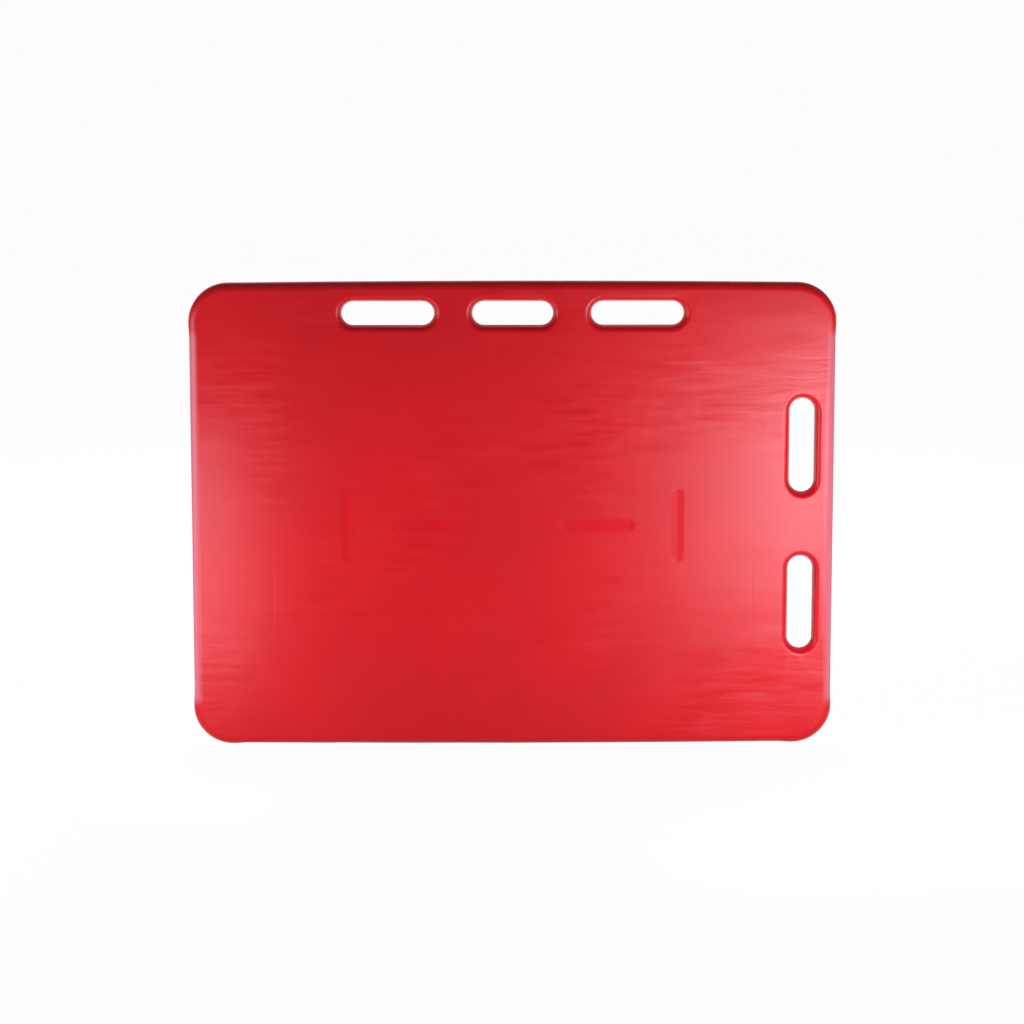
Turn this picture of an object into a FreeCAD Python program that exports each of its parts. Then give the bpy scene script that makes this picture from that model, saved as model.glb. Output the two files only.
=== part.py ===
import FreeCAD, Part

import math
import os

from FreeCAD import Vector

# Hollow livestock sorting panel: two moulded skins welded round the rim, in every hand hole
# and at the kiss-off wells. X runs along the width, Z up, and the front looks toward -Y.
# The origin is at the foot of the middle, in the plane of the seam.

# Overall board, in millimetres and degrees
BOARD_WIDTH = 1043.0
BOARD_HEIGHT = 762.0
BOARD_THICKNESS = 31.75
WALL = 2.4
CORNER_RADIUS = 64.0

# Edge of the board: each face rounds over and leaves a flat land beside the seam
EDGE_LAND = 2.9

# The top and bottom edges bow outwards. The corners stand proud of the sides and of the
# bottom edge, and lean out to there at a slight angle.
TOP_BOW_ANGLE = 0.62
BOTTOM_BOW_ANGLE = 0.52
CORNER_PROUD = 1.2
CORNER_LEAN = 3.1

# Hand holes, with their openings measured at the seam
TOP_HOLE_OPENING = 38.4
SIDE_HOLE_OPENING = 40.0
OUTER_TOP_HOLE_LENGTH = 149.0
MIDDLE_TOP_HOLE_LENGTH = 130.0
SIDE_HOLE_LENGTH = 153.5
TOP_GRIP = 32.6
SIDE_GRIP = 33.3
TOP_HOLE_PITCH = 200.8
SIDE_HOLE_PITCH = 259.4
MIDDLE_ROW_HEIGHT = 364.8
HOLE_DRAFT = 16.0
HOLE_RIM_RADIUS = 9.0
HOLE_RIM_FLATS = 3

# Kiss-off wells, pushed in from the rear until they meet the front skin
WELL_FLOOR_WIDTH = 14.0
WELL_FLOOR_LENGTH = 113.0
WELL_DRAFT = 12.0
WELL_RIM_CHAMFER = 2.5
INNER_WELL_OFFSET = 137.5
OUTER_WELL_OFFSET = 267.5

# Sink marks that the wells draw into the front face
SINK_DEPTH = 0.8
SINK_WIDTH = 26.0
SINK_FLOOR_WIDTH = 8.0

# Blow hole in the rear skin, and the plug that closes it
PLUG_HEIGHT = 58.0
PLUG_HEAD_RADIUS = 8.0
PLUG_HEAD_THICKNESS = 1.5
PLUG_SETBACK = 0.2
PLUG_SEAT_CLEARANCE = 0.3
PLUG_SHANK_RADIUS = 4.8
PLUG_SHANK_CLEARANCE = 0.15
PLUG_SHANK_OVERHANG = 3.0

# Cutters run this far past the faces that they open
OVERRUN = 2.0

HALF_WIDTH = BOARD_WIDTH / 2
HALF_THICKNESS = BOARD_THICKNESS / 2
EDGE_RADIUS = HALF_THICKNESS - EDGE_LAND
MIDDLE = Vector(0, 0, 0)
ACROSS = Vector(1, 0, 0)
THROUGH = Vector(0, 1, 0)
UP = Vector(0, 0, 1)


def sine(angle):
    return math.sin(math.radians(angle))


def cosine(angle):
    return math.cos(math.radians(angle))


def tangent(angle):
    return math.tan(math.radians(angle))


def direction(heading):
    """The unit vector in the plane of the board at an angle above the width."""
    return Vector(cosine(heading), 0, sine(heading))


class Pen:
    """Draws a run of lines and arcs in the plane of the board, with the left hand inside."""

    def __init__(self, point, heading):
        self.point = point
        self.heading = heading
        self.edges = []

    def line(self, length):
        end = self.point + direction(self.heading) * length
        self.edges.append(Part.makeLine(self.point, end))
        self.point = end

    def arc(self, radius, turn):
        inward = math.copysign(90, turn)
        centre = self.point + direction(self.heading + inward) * radius
        middle = centre + direction(self.heading + turn / 2 - inward) * radius
        end = centre + direction(self.heading + turn - inward) * radius
        self.edges.append(Part.Arc(self.point, middle, end).toShape())
        self.point = end
        self.heading += turn


def board_outline():
    """The outline over the seam. Its right half is drawn from the bottom middle, then mirrored."""
    lean_length = (CORNER_PROUD - CORNER_RADIUS * (1 - cosine(CORNER_LEAN))) / sine(CORNER_LEAN)
    corner_run = CORNER_RADIUS * (1 + sine(CORNER_LEAN)) + lean_length * cosine(CORNER_LEAN)

    bottom_bow_radius = (HALF_WIDTH - corner_run) / sine(BOTTOM_BOW_ANGLE)
    bottom_rise = bottom_bow_radius * (1 - cosine(BOTTOM_BOW_ANGLE))
    bottom_middle = max(CORNER_PROUD - bottom_rise, 0)
    corner_level = bottom_middle + bottom_rise - CORNER_PROUD

    top_bow_radius = (HALF_WIDTH - CORNER_RADIUS) / sine(TOP_BOW_ANGLE) + CORNER_RADIUS
    top_drop = (top_bow_radius - CORNER_RADIUS) * (1 - cosine(TOP_BOW_ANGLE))
    side_length = BOARD_HEIGHT - top_drop - corner_level - 2 * corner_run

    pen = Pen(Vector(0, 0, bottom_middle), 0)
    pen.arc(bottom_bow_radius, BOTTOM_BOW_ANGLE)
    pen.heading = -CORNER_LEAN
    pen.line(lean_length)
    pen.arc(CORNER_RADIUS, 90 + 2 * CORNER_LEAN)
    pen.line(lean_length)
    pen.heading = 90
    pen.line(side_length)
    pen.heading = 90 - CORNER_LEAN
    pen.line(lean_length)
    pen.arc(CORNER_RADIUS, 90 + CORNER_LEAN - TOP_BOW_ANGLE)
    pen.arc(top_bow_radius, TOP_BOW_ANGLE)

    right_half = Part.Wire(pen.edges)
    left_half = right_half.mirror(MIDDLE, ACROSS)
    return Part.Wire(Part.__sortEdges__(right_half.Edges + left_half.Edges))


def board_slab(inset, depth):
    """The outline drawn in by an inset and run from the seam toward the front.

    The edges of its front face come with it.
    """
    wire = board_outline()
    if inset:
        wire = wire.makeOffset2D(-inset)
    slab = Part.Face(wire).extrude(THROUGH * -depth)
    return slab, [edge for edge in slab.Edges if edge.BoundBox.YMax < -depth / 2]


def at(reach, depth):
    """A point of an opening's half section: its distance from the axis and its depth.

    Depths are counted from the seam toward the front.
    """
    return Vector(0, -depth, reach)


def half_section(wall):
    """The face between an opening's axis and its wall, whose corners run out to the front."""
    beyond = HALF_THICKNESS + OVERRUN
    return Part.Face(Part.makePolygon(wall + [at(wall[-1].z, beyond), at(0, beyond), wall[0]]))


def round_ended(section, run):
    """Runs a half section both ways along the width and turns it round both ends."""
    left = MIDDLE - ACROSS * (run / 2)
    right = MIDDLE + ACROSS * (run / 2)
    upper = section.translated(left).extrude(ACROSS * run)
    right_end = section.translated(right).revolve(right, THROUGH, 180)
    left_end = section.translated(left).revolve(left, THROUGH, -180)
    return upper.multiFuse([upper.mirror(MIDDLE, UP), right_end, left_end]).removeSplitter()


def eight_sided_loop(half_width, run, depth):
    """A loop of eight straight sides round a round-ended one, at a depth in front of the seam."""
    turn = 360 / 8
    reach = half_width / cosine(turn / 2)
    corners = []
    for corner in range(8):
        heading = turn / 2 + turn * corner
        centre = math.copysign(run / 2, cosine(heading))
        corners.append(Vector(centre, -depth, 0) + direction(heading) * reach)
    return Part.makePolygon(corners + corners[:1])


def hidden_wall(foot, foot_depth, rim_reach, run):
    """The back of an opening's wall, still filled, with flat sides because nothing sees it.

    It leads from its foot toward the edge of the opening's rim, and ends inside the skin.
    """
    rim_depth = HALF_THICKNESS - WALL
    end_depth = HALF_THICKNESS - WALL / 2
    end_reach = foot + (rim_reach - foot) * (end_depth - foot_depth) / (rim_depth - foot_depth)
    loops = [eight_sided_loop(foot, run, foot_depth), eight_sided_loop(end_reach, run, end_depth)]
    return Part.makeLoft(loops, True, True)


def rim_reach(opening):
    """How far the rounded rim of a hand hole reaches out from its axis on the face."""
    mouth = opening / 2 + HALF_THICKNESS * tangent(HOLE_DRAFT)
    return mouth + HOLE_RIM_RADIUS * tangent((90 - HOLE_DRAFT) / 2)


def hole_cutter(opening, length):
    """The room of one hand hole in the front half. Flats round its rim over to the face."""
    wall = [at(0, -OVERRUN), at(opening / 2, -OVERRUN), at(opening / 2, 0)]
    for flat in range(HOLE_RIM_FLATS + 1):
        lean = HOLE_DRAFT + (90 - HOLE_DRAFT) * flat / HOLE_RIM_FLATS
        reach = rim_reach(opening) - HOLE_RIM_RADIUS * cosine(lean)
        wall.append(at(reach, HALF_THICKNESS - HOLE_RIM_RADIUS * (1 - sine(lean))))
    return round_ended(half_section(wall), length - opening)


def hole_wall(opening, length):
    """The back of a hand hole's wall, one wall thick beside it, standing on the seam."""
    foot = opening / 2 + WALL / cosine(HOLE_DRAFT)
    return hidden_wall(foot, 0, rim_reach(opening), length - opening)


def well_mouth():
    """Half the width of a kiss-off well where its wall would meet the rear face."""
    return WELL_FLOOR_WIDTH / 2 + 2 * (HALF_THICKNESS - WALL) * tangent(WELL_DRAFT)


def well_cutter():
    """The room of one kiss-off well, whose floor lies on the front skin and is one wall thick."""
    floor_depth = 2 * WALL - HALF_THICKNESS
    chamfer_start = well_mouth() - WELL_RIM_CHAMFER * sine(WELL_DRAFT)
    chamfer_depth = HALF_THICKNESS - WELL_RIM_CHAMFER * cosine(WELL_DRAFT)
    wall = [at(0, floor_depth), at(WELL_FLOOR_WIDTH / 2, floor_depth)]
    wall += [at(chamfer_start, chamfer_depth), at(well_mouth() + WELL_RIM_CHAMFER, HALF_THICKNESS)]
    return round_ended(half_section(wall), WELL_FLOOR_LENGTH - WELL_FLOOR_WIDTH).mirror(MIDDLE, THROUGH)


def well_wall():
    """The back of a kiss-off well's wall, one wall thick beside it, standing on the front skin."""
    foot = WELL_FLOOR_WIDTH / 2 + WALL * (1 - sine(WELL_DRAFT)) / cosine(WELL_DRAFT)
    rim = well_mouth() + WELL_RIM_CHAMFER
    wall = hidden_wall(foot, WALL - HALF_THICKNESS, rim, WELL_FLOOR_LENGTH - WELL_FLOOR_WIDTH)
    return wall.mirror(MIDDLE, THROUGH)


def sink_mark():
    """The shallow dish that a well draws into the front face as it cools, too slight to need round ends."""
    run = WELL_FLOOR_LENGTH - WELL_FLOOR_WIDTH
    floor = eight_sided_loop(SINK_FLOOR_WIDTH / 2, run, HALF_THICKNESS - SINK_DEPTH)
    return Part.makeLoft([floor, eight_sided_loop(SINK_WIDTH / 2, run, HALF_THICKNESS)], True, True)


def stand_up(shape):
    """Turns a form that lies along the width so that it stands along the height."""
    return shape.rotated(MIDDLE, THROUGH, 90)


def at_every_hole(make):
    """One form for each hand hole: three along the top edge and two along the right side.

    They are made by a function of the opening and the length of a hole.
    """
    top_height = BOARD_HEIGHT - TOP_GRIP - TOP_HOLE_OPENING / 2
    side_offset = HALF_WIDTH - SIDE_GRIP - SIDE_HOLE_OPENING / 2
    outer = make(TOP_HOLE_OPENING, OUTER_TOP_HOLE_LENGTH)
    middle = make(TOP_HOLE_OPENING, MIDDLE_TOP_HOLE_LENGTH)
    side = stand_up(make(SIDE_HOLE_OPENING, SIDE_HOLE_LENGTH))
    return [
        outer.translated(Vector(-TOP_HOLE_PITCH, 0, top_height)),
        middle.translated(Vector(0, 0, top_height)),
        outer.translated(Vector(TOP_HOLE_PITCH, 0, top_height)),
        side.translated(Vector(side_offset, 0, MIDDLE_ROW_HEIGHT + SIDE_HOLE_PITCH / 2)),
        side.translated(Vector(side_offset, 0, MIDDLE_ROW_HEIGHT - SIDE_HOLE_PITCH / 2)),
    ]


def at_every_well(form):
    """Copies of a form at the kiss-off wells: the inner two lie down, the outer two stand."""
    upright = stand_up(form)
    places = []
    for side in (-1, 1):
        places.append(form.translated(Vector(side * INNER_WELL_OFFSET, 0, MIDDLE_ROW_HEIGHT)))
        places.append(upright.translated(Vector(side * OUTER_WELL_OFFSET, 0, MIDDLE_ROW_HEIGHT)))
    return places


def moulded_half():
    """The front half of the moulding: an open tray with every hand hole's wall standing in it.

    The chamfer of the room inside touches the round that the inside of an even wall has.
    """
    slab, rim = board_slab(0, HALF_THICKNESS)
    skin = slab.makeFillet(EDGE_RADIUS, rim)
    room_slab, room_rim = board_slab(WALL, HALF_THICKNESS - WALL)
    room = room_slab.makeChamfer((EDGE_RADIUS - WALL) * (2 - math.sqrt(2)), room_rim)
    return skin.cut(room).multiFuse(at_every_hole(hole_wall)).cut(at_every_hole(hole_cutter))


def disc(radius, start, end):
    """A round disc on the blow hole's axis, from one distance behind the seam to another."""
    return Part.makeCylinder(radius, end - start, Vector(0, start, PLUG_HEIGHT), THROUGH)


def front_shell():
    return moulded_half().cut(at_every_well(sink_mark()))


def rear_shell():
    """The rear half, with the wells pushed in and a sunk seat round the blow hole."""
    seat_radius = PLUG_HEAD_RADIUS + PLUG_SEAT_CLEARANCE
    seat_floor = HALF_THICKNESS - PLUG_SETBACK - PLUG_HEAD_THICKNESS
    seat_back = eight_sided_loop(seat_radius + WALL, 0, WALL - seat_floor).translated(UP * PLUG_HEIGHT)
    seat_wall = Part.Face(seat_back).extrude(THROUGH * (HALF_THICKNESS - WALL / 2 + WALL - seat_floor))
    seat = disc(seat_radius, seat_floor, HALF_THICKNESS + OVERRUN)
    hole = disc(PLUG_SHANK_RADIUS + PLUG_SHANK_CLEARANCE, seat_floor - WALL - OVERRUN, HALF_THICKNESS)
    walls = moulded_half().mirror(MIDDLE, THROUGH).multiFuse(at_every_well(well_wall()) + [seat_wall])
    return walls.cut(at_every_well(well_cutter()) + [seat, hole])


def blow_hole_plug():
    """A push-in plug: a flat head that lies in its seat and a shank through the skin."""
    head_top = HALF_THICKNESS - PLUG_SETBACK
    head_floor = head_top - PLUG_HEAD_THICKNESS
    shank = disc(PLUG_SHANK_RADIUS, head_floor - WALL - PLUG_SHANK_OVERHANG, head_floor)
    return disc(PLUG_HEAD_RADIUS, head_floor, head_top).fuse(shank)


os.makedirs("parts", exist_ok=True)
for make in (front_shell, rear_shell, blow_hole_plug):
    node = make().removeSplitter()
    solid = node.Solids[0] if len(node.Solids) == 1 else node
    solid.exportStep(f"parts/{make.__name__}.step")
    box = solid.optimalBoundingBox()
    state = "valid" if node.isValid() else "not valid"
    print(f"{make.__name__}: solids {len(node.Solids)}, {state}, volume {node.Volume:.0f}")
    print(f"  X {box.XMin:.2f} {box.XMax:.2f}  Y {box.YMin:.2f} {box.YMax:.2f}  Z {box.ZMin:.2f} {box.ZMax:.2f}")
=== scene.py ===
import math

import bpy
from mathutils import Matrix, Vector

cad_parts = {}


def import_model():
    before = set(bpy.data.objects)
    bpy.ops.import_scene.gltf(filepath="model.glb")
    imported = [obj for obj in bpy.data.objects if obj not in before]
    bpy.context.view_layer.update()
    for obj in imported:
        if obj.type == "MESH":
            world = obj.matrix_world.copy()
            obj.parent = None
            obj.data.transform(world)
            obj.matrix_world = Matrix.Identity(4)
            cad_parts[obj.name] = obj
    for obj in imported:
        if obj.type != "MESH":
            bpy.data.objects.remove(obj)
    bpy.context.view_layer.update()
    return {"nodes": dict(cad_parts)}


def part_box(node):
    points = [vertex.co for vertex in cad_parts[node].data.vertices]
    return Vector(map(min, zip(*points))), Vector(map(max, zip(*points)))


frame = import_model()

# Pig sorting board: a hollow red polyethylene panel, on a plain floor in soft light.
# Everything is in metres, in the frame of the model: X along the width, Z up, front toward -Y.

# Camera, as fitted to the outline and the hand holes. Its angles are in degrees, its focal
# length and offset in pixels and its sensor in millimetres.
VIEW_TARGET = Vector((0, 0, 0.380))
VIEW_DISTANCE = 6.052
VIEW_PITCH = 10.5
VIEW_YAW = 0.64
VIEW_END = 100.0
FOCAL_PIXELS = 3725.1
IMAGE_SIZE = 1024
IMAGE_OFFSET = (0.62, 2.75)
SENSOR_WIDTH = 36.0

# Board, from the frame
NODES = frame["nodes"]
FRONT_LOW, FRONT_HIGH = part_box("front_shell")
HALF_WIDTH = FRONT_HIGH[0]
HALF_THICKNESS = -FRONT_LOW[1]

# Red polyethylene: its colours, its gloss, what a mark takes off the gloss, and its roughness
RED = (0.525, 0.0004, 0.0050, 1.0)
DEEP_RED = (0.475, 0.0002, 0.0040, 1.0)
# A pale pink, painted on the front rounds of the sides as their highlight
PAINTED_SIDE_HIGHLIGHT_RED = (0.520, 0.1500, 0.1900, 1.0)
MARK_RED = (0.515, 0.0062, 0.0110, 1.0)
PLUG_RED = (0.420, 0.0008, 0.0050, 1.0)
DEEP_PLUG_RED = (0.360, 0.0004, 0.0035, 1.0)
GLOSS = 0.29
MARK_GLOSS_LOSS = 0.17
ROUGHNESS = 0.32

# Kiss-off marks on the front face: the row's height, the two distances from the middle, the
# half width, the straight half length and the soft edge of a mark
MARK_HEIGHT = 0.3648
LYING_MARK_OFFSET = 0.1375
STANDING_MARK_OFFSET = 0.2675
MARK_RADIUS = 0.0125
MARK_RUN = 0.0495
MARK_FADE = 0.004

# Faint upright lines on the front face: distance from the middle, height, half length, half
# width and depth
LINE_OFFSET = 0.389
LINE_HEIGHT = 0.243
LINE_RUN = 0.042
LINE_RADIUS = 0.004
LINE_DEPTH = 0.00008

# Marks and lines are whole in front of the first of these two places in Y, and end at the second
FRONT_WHOLE = -0.012
FRONT_END = -0.010

# Sides between the corners: they run between these heights, with a fade to either side of each
SIDE_FOOT = 0.073
SIDE_HEAD = 0.679
SIDE_FADE = 0.010

# Their front rounds carry a painted highlight, a pale band that is most within the first inset
# and no further than the second. The band is whole in front of the first share of half the
# thickness, and ends at the second.
SIDE_HIGHLIGHT_INSET = 0.002
SIDE_HIGHLIGHT_REACH = 0.018
SIDE_HIGHLIGHT_FRONT = 0.8
SIDE_HIGHLIGHT_BACK = 0.2
SIDE_HIGHLIGHT_SHARE = 0.8
SIDE_HIGHLIGHT_DULLNESS = 0.03

# Seam of the two skins, in the middle of the thickness: width, depth and share of darker red
SEAM = 0.0006
SEAM_DEPTH = 0.0002
SEAM_SHARE = 0.4

# Flow of the melt: long swells and short streaks that lie, and drags that stand. The pairs
# say how many times over the width and the height are counted in the noise of each.
SWELLS = (5.0, 16.0)
STREAKS = (11.0, 75.0)
DRAGS = (60.0, 10.0)
SWELL_DEPTH = 0.0012
STREAK_DEPTH = 0.0006
STREAK_GLOSS = 0.35
STREAK_DULLNESS = 0.10
STREAK_TONE = 0.4
DRAG_SHARE = 0.4

# Patches that the streaks come in, clouds of deeper red, and the fine grain of the skin
PATCH_SCALE = 4.5
PATCH_EDGES = (0.35, 0.80)
CLOUD_SCALE = 4.0
CLOUD_DULLNESS = 0.04
TONE_EDGES = (0.30, 0.70)
GRAIN_SCALE = 900.0
GRAIN_DEPTH = 0.00002
GRAIN_STRENGTH = 0.15

# Edges of the model's faces are joined within this reach, and flat faces count in full
WELD_REACH = 0.00002
FLAT_WEIGHT = 100

# Floor and light. The shares of white are what the camera and mirrors see of the floor.
WHITE = (1.0, 1.0, 1.0, 1.0)
FLOOR_REACH = 40.0
FLOOR_COLOUR = (0.80, 0.80, 0.80, 1.0)
FLOOR_ROUGHNESS = 0.9
FLOOR_WHITENESS = 0.975
FLOOR_REFLECTED = 0.78
WORLD_LEVEL = 0.10
WORLD_REFLECTED = 0.45
LAMP_COLOUR = (0.91, 1.0, 1.12)


class Graph:
    """A small writer of shader nodes. Most methods add one node and return its output."""

    def __init__(self, tree):
        self.tree = tree

    def add(self, kind, **settings):
        """Adds a node, and returns the node itself."""
        node = self.tree.nodes.new(kind)
        for name, value in settings.items():
            setattr(node, name, value)
        return node

    def feed(self, socket, value):
        """Links an output to a socket, or sets a plain value on it."""
        if isinstance(value, bpy.types.NodeSocket):
            self.tree.links.new(value, socket)
        else:
            socket.default_value = value

    def show(self, shader, kind="ShaderNodeOutputMaterial"):
        """Makes this shader the surface that the tree gives."""
        self.feed(self.add(kind).inputs["Surface"], shader)

    def math(self, operation, a, b=0.0, c=0.0):
        node = self.add("ShaderNodeMath", operation=operation)
        for socket, value in zip(node.inputs, (a, b, c)):
            self.feed(socket, value)
        return node.outputs[0]

    def combine(self, x, y, z):
        node = self.add("ShaderNodeCombineXYZ")
        for socket, value in zip(node.inputs, (x, y, z)):
            self.feed(socket, value)
        return node.outputs[0]

    def position(self):
        """The place in the frame, in metres, as x, y and z."""
        coordinates = self.add("ShaderNodeTexCoord").outputs["Object"]
        split = self.add("ShaderNodeSeparateXYZ")
        self.feed(split.inputs[0], coordinates)
        return split.outputs

    def noise(self, vector, scale, detail, roughness=0.5, distortion=0.0):
        node = self.add("ShaderNodeTexNoise")
        self.feed(node.inputs["Vector"], vector)
        self.feed(node.inputs["Scale"], scale)
        self.feed(node.inputs["Detail"], detail)
        self.feed(node.inputs["Roughness"], roughness)
        self.feed(node.inputs["Distortion"], distortion)
        return node.outputs["Fac"]

    def between(self, value, low, high, out_low=0.0, out_high=1.0):
        """Maps a range onto another, with smooth ends."""
        node = self.add("ShaderNodeMapRange", interpolation_type="SMOOTHSTEP")
        for socket, given in zip(node.inputs, (value, low, high, out_low, out_high)):
            self.feed(socket, given)
        return node.outputs[0]

    def mix(self, share, a, b):
        """Mixes two colours, which this node takes in its sockets 6 and 7."""
        node = self.add("ShaderNodeMix", data_type="RGBA")
        self.feed(node.inputs[0], share)
        self.feed(node.inputs[6], a)
        self.feed(node.inputs[7], b)
        return node.outputs[2]

    def bump(self, height, distance, strength=1.0, normal=None):
        node = self.add("ShaderNodeBump")
        self.feed(node.inputs["Height"], height)
        self.feed(node.inputs["Distance"], distance)
        self.feed(node.inputs["Strength"], strength)
        if normal is not None:
            self.feed(node.inputs["Normal"], normal)
        return node.outputs[0]


def new_material(name):
    """An empty material with its graph and its shader."""
    material = bpy.data.materials.new(name)
    material.use_nodes = True
    material.node_tree.nodes.clear()
    graph = Graph(material.node_tree)
    return material, graph, graph.add("ShaderNodeBsdfPrincipled")


def reach_from_line(graph, along, across, run):
    """How far a point is from a straight line that runs this far to either side."""
    past = graph.math("MAXIMUM", graph.math("SUBTRACT", graph.math("ABSOLUTE", along), run), 0.0)
    square = graph.math("MULTIPLY", across, across)
    return graph.math("SQRT", graph.math("MULTIPLY_ADD", past, past, square))


def mark_reach(graph, x, z):
    """How far a point is from the nearest weld of the skins: the inner two lie, the outer stand."""
    side = graph.math("ABSOLUTE", x)
    height = graph.math("SUBTRACT", z, MARK_HEIGHT)
    from_lying = graph.math("SUBTRACT", side, LYING_MARK_OFFSET)
    from_standing = graph.math("SUBTRACT", side, STANDING_MARK_OFFSET)
    lying = reach_from_line(graph, from_lying, height, MARK_RUN)
    standing = reach_from_line(graph, height, from_standing, MARK_RUN)
    return graph.math("MINIMUM", lying, standing)


def front_features(graph, x, y, z):
    """Where the front face has its weld marks and its faint upright lines."""
    front = graph.between(y, FRONT_WHOLE, FRONT_END, 1.0, 0.0)
    marks = graph.between(mark_reach(graph, x, z), MARK_RADIUS - MARK_FADE, MARK_RADIUS, 1.0, 0.0)
    aside = graph.math("SUBTRACT", graph.math("ABSOLUTE", x), LINE_OFFSET)
    line = reach_from_line(graph, graph.math("SUBTRACT", z, LINE_HEIGHT), aside, LINE_RUN)
    lines = graph.between(line, 0.0, LINE_RADIUS, 1.0, 0.0)
    return graph.math("MULTIPLY", marks, front), graph.math("MULTIPLY", lines, front)


def painted_side_highlights(graph, x, y, z):
    """Where the front rounds of the two sides get a painted highlight, a pale band between the
    corners.
    """
    inset = graph.math("SUBTRACT", HALF_WIDTH, graph.math("ABSOLUTE", x))
    reach = graph.between(inset, SIDE_HIGHLIGHT_INSET, SIDE_HIGHLIGHT_REACH, 1.0, 0.0)
    above = graph.between(z, SIDE_FOOT - SIDE_FADE, SIDE_FOOT + SIDE_FADE)
    below = graph.between(z, SIDE_HEAD - SIDE_FADE, SIDE_HEAD + SIDE_FADE, 1.0, 0.0)
    whole, end = -SIDE_HIGHLIGHT_FRONT * HALF_THICKNESS, -SIDE_HIGHLIGHT_BACK * HALF_THICKNESS
    fore = graph.between(y, whole, end, 1.0, 0.0)
    edge = graph.math("MULTIPLY", reach, fore)
    return graph.math("MULTIPLY", edge, graph.math("MULTIPLY", above, below))


def flow_noise(graph, x, y, z, counted, detail, distortion=0.0):
    """A noise about zero, with the width and the height counted this many times over."""
    across, up = counted
    place = graph.combine(graph.math("MULTIPLY", x, across), y, graph.math("MULTIPLY", z, up))
    noise = graph.noise(place, 1.0, detail, distortion=distortion)
    return graph.math("SUBTRACT", noise, 0.5)


def polyethylene(name, red, deep):
    """Moulded red polyethylene: swells, streaks, mottling, a painted highlight on the sides and a low
    satin gloss.
    """
    material, graph, surface = new_material(name)
    x, y, z = graph.position()
    place = graph.combine(x, y, z)

    swells = flow_noise(graph, x, y, z, SWELLS, detail=1.0)
    streaks = flow_noise(graph, x, y, z, STREAKS, detail=1.5, distortion=0.3)
    drags = flow_noise(graph, x, y, z, DRAGS, detail=1.5)
    clouds = graph.noise(place, CLOUD_SCALE, detail=4.0, roughness=0.55)
    patches = graph.between(graph.noise(place, PATCH_SCALE, detail=0.0), *PATCH_EDGES)
    grain = graph.noise(place, GRAIN_SCALE, detail=2.0)

    marks, lines = front_features(graph, x, y, z)
    side_highlight = painted_side_highlights(graph, x, y, z)
    seam = graph.between(graph.math("ABSOLUTE", y), 0.5 * SEAM, 1.5 * SEAM, 1.0, 0.0)

    flow = graph.math("MULTIPLY", streaks, patches)
    tone = graph.math("MULTIPLY_ADD", flow, STREAK_TONE, clouds)
    colour = graph.mix(graph.between(tone, *TONE_EDGES), deep, red)
    colour = graph.mix(marks, colour, MARK_RED)
    # A pale band painted on the front rounds of the sides stands in for their highlight
    colour = graph.mix(graph.math("MULTIPLY", side_highlight, SIDE_HIGHLIGHT_SHARE), colour, PAINTED_SIDE_HIGHLIGHT_RED)
    colour = graph.mix(graph.math("MULTIPLY", seam, SEAM_SHARE), colour, DEEP_PLUG_RED)
    graph.feed(surface.inputs["Base Color"], colour)

    cloudy = graph.math("SUBTRACT", clouds, 0.5)
    dullness = graph.math("MULTIPLY_ADD", flow, STREAK_DULLNESS, ROUGHNESS)
    dullness = graph.math("MULTIPLY_ADD", cloudy, CLOUD_DULLNESS, dullness)
    # The painted highlight band on the sides is also made a little rougher
    dullness = graph.math("MULTIPLY_ADD", side_highlight, SIDE_HIGHLIGHT_DULLNESS, dullness)
    graph.feed(surface.inputs["Roughness"], dullness)
    gloss = graph.math("MULTIPLY_ADD", flow, STREAK_GLOSS, GLOSS)
    gloss = graph.math("MULTIPLY_ADD", marks, -MARK_GLOSS_LOSS, gloss)
    graph.feed(surface.inputs["Specular IOR Level"], gloss)

    # The relief is in metres already, so its bump counts it once
    relief = graph.math("MULTIPLY", lines, -LINE_DEPTH)
    relief = graph.math("MULTIPLY_ADD", swells, SWELL_DEPTH, relief)
    relief = graph.math("MULTIPLY_ADD", seam, -SEAM_DEPTH, relief)
    moulding = graph.bump(relief, 1.0)
    ripple = graph.math("MULTIPLY_ADD", drags, DRAG_SHARE, streaks)
    waves = graph.bump(graph.math("MULTIPLY", ripple, patches), STREAK_DEPTH, normal=moulding)
    skin = graph.bump(grain, GRAIN_DEPTH, GRAIN_STRENGTH, waves)
    graph.feed(surface.inputs["Normal"], skin)
    graph.show(surface.outputs[0])
    return material


def smooth_rims(obj):
    """Joins the edges of the model's faces and shades its rounds smooth, with flat faces kept flat."""
    weld = obj.modifiers.new("weld", "WELD")
    weld.merge_threshold = WELD_REACH
    for polygon in obj.data.polygons:
        polygon.use_smooth = True
    edges = obj.modifiers.new("weighted", "WEIGHTED_NORMAL")
    edges.keep_sharp = True
    edges.weight = FLAT_WEIGHT


def dress(node, material):
    """Gives a piece of the model its material and its smooth rims."""
    obj = NODES[node]
    obj.data.materials.clear()
    obj.data.materials.append(material)
    smooth_rims(obj)


def mirrored_rays(graph, path):
    """This is 1 for the rays that a gloss or a clear body sends on, and 0 for all others."""
    return graph.math("MAXIMUM", path.outputs["Is Glossy Ray"], path.outputs["Is Transmission Ray"])


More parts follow.
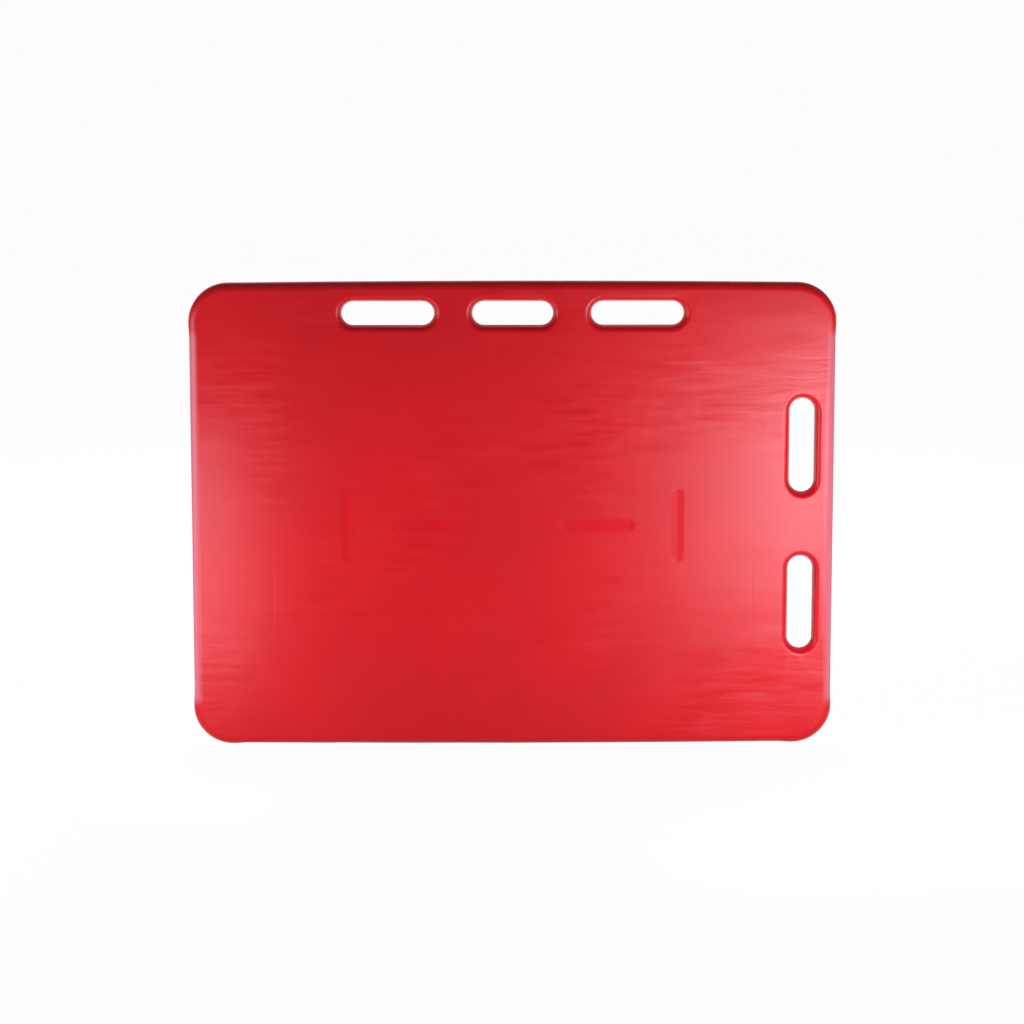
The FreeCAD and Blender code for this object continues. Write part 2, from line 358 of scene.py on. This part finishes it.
def pale_floor_material():
    """A pale matte floor that the camera sees nearly white, and mirrors a little less so."""
    material, graph, surface = new_material("pale_floor")
    surface.inputs["Base Color"].default_value = FLOOR_COLOUR
    surface.inputs["Roughness"].default_value = FLOOR_ROUGHNESS
    surface.inputs["Specular IOR Level"].default_value = 0.0
    path = graph.add("ShaderNodeLightPath")
    mirrored = graph.math("MULTIPLY", mirrored_rays(graph, path), FLOOR_REFLECTED)
    seen = graph.math("MULTIPLY_ADD", path.outputs["Is Camera Ray"], FLOOR_WHITENESS, mirrored)
    white = graph.add("ShaderNodeEmission")
    white.inputs["Color"].default_value = WHITE
    white.inputs["Strength"].default_value = 1.0
    blend = graph.add("ShaderNodeMixShader")
    graph.feed(blend.inputs[0], seen)
    graph.feed(blend.inputs[1], surface.outputs[0])
    graph.feed(blend.inputs[2], white.outputs[0])
    graph.show(blend.outputs[0])
    return material


def floor():
    reach = FLOOR_REACH
    mesh = bpy.data.meshes.new("floor")
    corners = [(-reach, -reach, 0), (reach, -reach, 0), (reach, reach, 0), (-reach, reach, 0)]
    mesh.from_pydata(corners, [], [(0, 1, 2, 3)])
    mesh.materials.append(pale_floor_material())
    obj = bpy.data.objects.new("floor", mesh)
    bpy.context.collection.objects.link(obj)


def world():
    """An even dim room that the camera sees as white and mirrors see as grey."""
    studio = bpy.data.worlds.new("studio")
    bpy.context.scene.world = studio
    studio.use_nodes = True
    graph = Graph(studio.node_tree)
    graph.tree.nodes.clear()
    path = graph.add("ShaderNodeLightPath")
    mirrored = mirrored_rays(graph, path)
    level = graph.math("MULTIPLY_ADD", mirrored, WORLD_REFLECTED - WORLD_LEVEL, WORLD_LEVEL)
    level = graph.math("MULTIPLY_ADD", path.outputs["Is Camera Ray"], 1.0 - WORLD_LEVEL, level)
    light = graph.add("ShaderNodeBackground")
    light.inputs["Color"].default_value = WHITE
    graph.feed(light.inputs["Strength"], level)
    graph.show(light.outputs[0], "ShaderNodeOutputWorld")


def soft_light(name, place, aim, width, height, power):
    """A flat lamp at a place, turned toward the point that it lights, with its power in watts."""
    data = bpy.data.lights.new(name, "AREA")
    data.shape = "RECTANGLE"
    data.size = width
    data.size_y = height
    data.energy = power
    data.color = LAMP_COLOUR
    obj = bpy.data.objects.new(name, data)
    bpy.context.collection.objects.link(obj)
    obj.location = place
    obj.rotation_mode = "QUATERNION"
    obj.rotation_quaternion = (Vector(aim) - Vector(place)).to_track_quat("-Z", "Y")
    return obj


def camera():
    data = bpy.data.cameras.new("camera")
    data.sensor_width = SENSOR_WIDTH
    data.lens = FOCAL_PIXELS / IMAGE_SIZE * SENSOR_WIDTH
    data.shift_x = -IMAGE_OFFSET[0] / IMAGE_SIZE
    data.shift_y = IMAGE_OFFSET[1] / IMAGE_SIZE
    data.clip_end = VIEW_END
    obj = bpy.data.objects.new("camera", data)
    bpy.context.collection.objects.link(obj)
    pitch = math.radians(VIEW_PITCH)
    yaw = math.radians(VIEW_YAW)
    level = math.cos(pitch)
    back = Vector((-math.sin(yaw) * level, -math.cos(yaw) * level, math.sin(pitch)))
    obj.location = VIEW_TARGET + back * VIEW_DISTANCE
    obj.rotation_mode = "QUATERNION"
    obj.rotation_quaternion = (-back).to_track_quat("-Z", "Y")
    bpy.context.scene.camera = obj


bpy.context.scene.view_settings.view_transform = "Standard"

camera()
world()
soft_light("left_softbox", (-0.58, -0.50, 0.23), (-0.42, 0, 0.25), 0.20, 0.42, 1.7)
soft_light("left_wing", (-1.35, -0.62, 0.44), (-0.50, 0, 0.42), 1.10, 0.66, 11.0)
soft_light("right_softbox", (0.59, -0.90, 0.25), (0.35, 0, 0.38), 0.30, 0.42, 2.1)
soft_light("right_inner_box", (0.50, -0.90, 0.25), (0.30, 0, 0.38), 0.30, 0.42, 1.9)
soft_light("right_edge_box", (0.69, -0.90, 0.28), (0.45, 0, 0.38), 0.24, 0.42, 3.0)
soft_light("right_upper_box", (0.66, -0.55, 0.48), (0.38, 0, 0.42), 0.30, 0.26, 1.15)
soft_light("right_wing", (1.15, -0.85, 0.40), (0.50, 0, 0.40), 0.55, 0.70, 5.0)

# The lamp behind lights the top edge and the rear, and leaves no mirror image of itself
rear_lamp = soft_light("rear_softbox", (0, 2.6, 2.2), (0, 0, 0.38), 2.0, 1.2, 120.0)
rear_lamp.visible_glossy = False

floor()

shell_material = polyethylene("red_polyethylene", RED, DEEP_RED)
dress("front_shell", shell_material)
dress("rear_shell", shell_material)
dress("blow_hole_plug", polyethylene("plug_polyethylene", PLUG_RED, DEEP_PLUG_RED))
